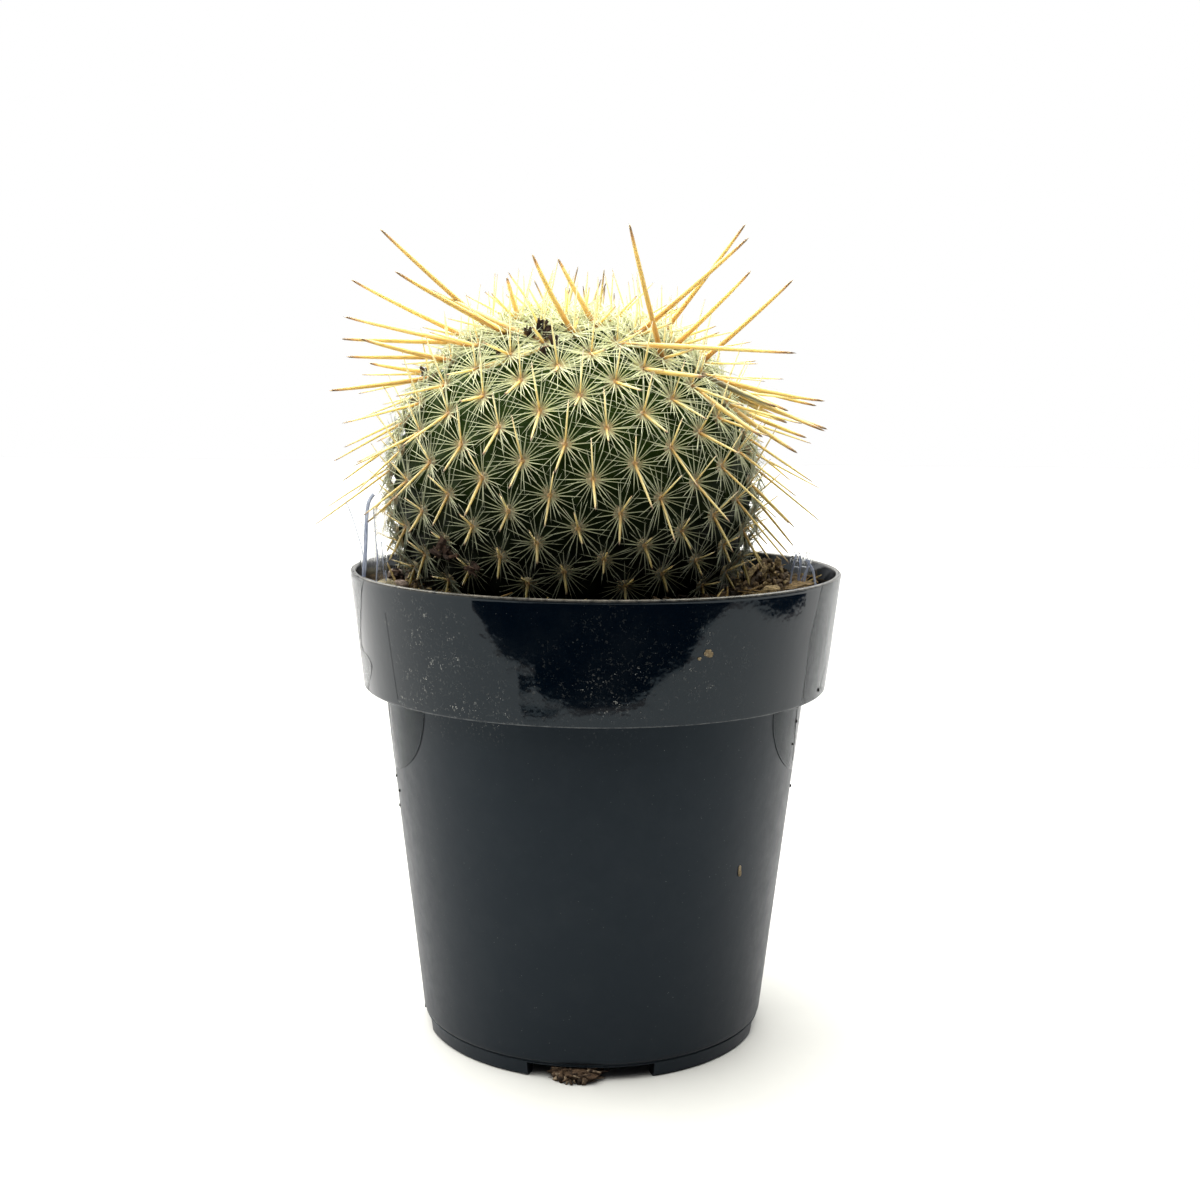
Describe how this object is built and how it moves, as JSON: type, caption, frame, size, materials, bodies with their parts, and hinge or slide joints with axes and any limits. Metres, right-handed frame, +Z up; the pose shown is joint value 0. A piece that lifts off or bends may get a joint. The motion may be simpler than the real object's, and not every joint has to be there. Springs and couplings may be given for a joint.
{
  "type": "potted round cactus",
  "caption": "Small round cactus with spiral rows of white and amber spines, growing in a black plastic nursery pot of bark mix, with clear film strips over the rim.",
  "frame": {"origin": "centre of the circle that the pot's feet stand on", "axes": "+Z up along the pot's axis; -Y is the front that the picture shows; +X is the picture's right"},
  "size_m": [0.0908, 0.09, 0.1491],
  "materials": {
    "black_plastic": "satin",
    "bark_mix": "matte",
    "green_skin": "satin",
    "spines": "satin",
    "wool": "matte",
    "clear_film": "gloss",
    "roots": "matte",
    "bark": "matte",
    "grit": "matte"
  },
  "bodies": {
    "root": {"pot": "black_plastic", "potting_mix": "bark_mix", "stem": "green_skin", "crown_tuft": "wool", "spine_row_01": "spines", "spine_row_02": "spines", "spine_row_03": "spines", "spine_row_04": "spines", "spine_row_05": "spines", "spine_row_06": "spines", "spine_row_07": "spines", "spine_row_08": "spines", "spine_row_09": "spines", "spine_row_10": "spines", "spine_row_11": "spines", "spine_row_12": "spines", "spine_row_13": "spines", "film_strip_left": "clear_film", "film_strip_right": "clear_film", "root_tuft": "roots", "bark_chip_01": "bark", "bark_chip_02": "bark", "bark_chip_03": "bark", "bark_chip_04": "bark", "bark_chip_05": "bark", "bark_chip_06": "bark", "grit_stone_01": "grit", "grit_stone_02": "grit", "grit_stone_03": "grit"}
  },
  "joints": []
}
